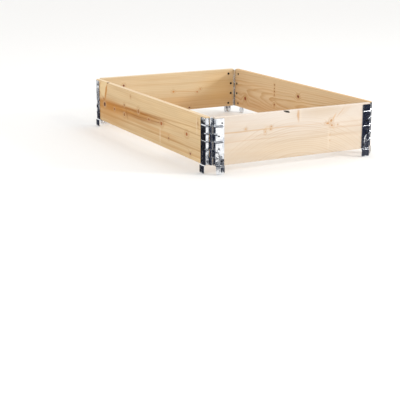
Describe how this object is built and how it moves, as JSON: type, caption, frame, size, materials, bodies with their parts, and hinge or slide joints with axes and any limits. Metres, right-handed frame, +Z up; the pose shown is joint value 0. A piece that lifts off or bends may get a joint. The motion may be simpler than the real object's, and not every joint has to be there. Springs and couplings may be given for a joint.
{
  "type": "pallet collar",
  "caption": "Folding pallet collar of single softwood boards, joined at the corners by pressed galvanised hinges whose tongues reach over the edge below.",
  "frame": {"origin": "under the middle of the collar, level with the lower ends of the hinge tongues", "axes": "+X along the long boards towards the front short board, +Y along the short boards towards the right long board, +Z up"},
  "size_m": [1.2168, 0.817, 0.23],
  "materials": {
    "spruce_board": "planed spruce, unvarnished, with knots",
    "galvanised_steel": "bright galvanised sheet, pressed",
    "rivet_steel": "dull dark steel"
  },
  "bodies": {
    "left_side": {"left_board": "spruce_board", "left_board_back_leaf": "galvanised_steel", "left_board_back_rivet_1": "rivet_steel", "left_board_back_rivet_2": "rivet_steel", "left_board_back_rivet_3": "rivet_steel", "left_board_back_rivet_4": "rivet_steel", "left_board_front_leaf": "galvanised_steel", "left_board_front_rivet_1": "rivet_steel", "left_board_front_rivet_2": "rivet_steel", "left_board_front_rivet_3": "rivet_steel", "left_board_front_rivet_4": "rivet_steel", "front_left_pin": "galvanised_steel", "back_left_pin": "galvanised_steel"},
    "front_side": {"front_board": "spruce_board", "front_board_left_leaf": "galvanised_steel", "front_board_left_rivet_1": "rivet_steel", "front_board_left_rivet_2": "rivet_steel", "front_board_left_rivet_3": "rivet_steel", "front_board_left_rivet_4": "rivet_steel", "front_board_right_leaf": "galvanised_steel", "front_board_right_rivet_1": "rivet_steel", "front_board_right_rivet_2": "rivet_steel", "front_board_right_rivet_3": "rivet_steel", "front_board_right_rivet_4": "rivet_steel"},
    "right_side": {"right_board": "spruce_board", "right_board_front_leaf": "galvanised_steel", "right_board_front_rivet_1": "rivet_steel", "right_board_front_rivet_2": "rivet_steel", "right_board_front_rivet_3": "rivet_steel", "right_board_front_rivet_4": "rivet_steel", "right_board_back_leaf": "galvanised_steel", "right_board_back_rivet_1": "rivet_steel", "right_board_back_rivet_2": "rivet_steel", "right_board_back_rivet_3": "rivet_steel", "right_board_back_rivet_4": "rivet_steel", "front_right_pin": "galvanised_steel", "back_right_pin": "galvanised_steel"},
    "back_side": {"back_board": "spruce_board", "back_board_right_leaf": "galvanised_steel", "back_board_right_rivet_1": "rivet_steel", "back_board_right_rivet_2": "rivet_steel", "back_board_right_rivet_3": "rivet_steel", "back_board_right_rivet_4": "rivet_steel", "back_board_left_leaf": "galvanised_steel", "back_board_left_rivet_1": "rivet_steel", "back_board_left_rivet_2": "rivet_steel", "back_board_left_rivet_3": "rivet_steel", "back_board_left_rivet_4": "rivet_steel"}
  },
  "joints": [
    {"name": "front_left_hinge", "type": "hinge", "parent": "left_side", "child": "front_side", "pos_m": [0.5778, -0.3778, 0.035], "axis": [0, 0, 1], "range_deg": [-88, 88]},
    {"name": "back_left_hinge", "type": "hinge", "parent": "left_side", "child": "back_side", "pos_m": [-0.5778, -0.3778, 0.035], "axis": [0, 0, 1], "range_deg": [-88, 88]},
    {"name": "front_right_hinge", "type": "hinge", "parent": "front_side", "child": "right_side", "pos_m": [0.5778, 0.3778, 0.035], "axis": [0, 0, 1], "range_deg": [-88, 88]}
  ],
  "couplings": [
    {"joint": "back_left_hinge", "follows": "front_left_hinge", "ratio": 1},
    {"joint": "front_right_hinge", "follows": "front_left_hinge", "ratio": -1}
  ]
}
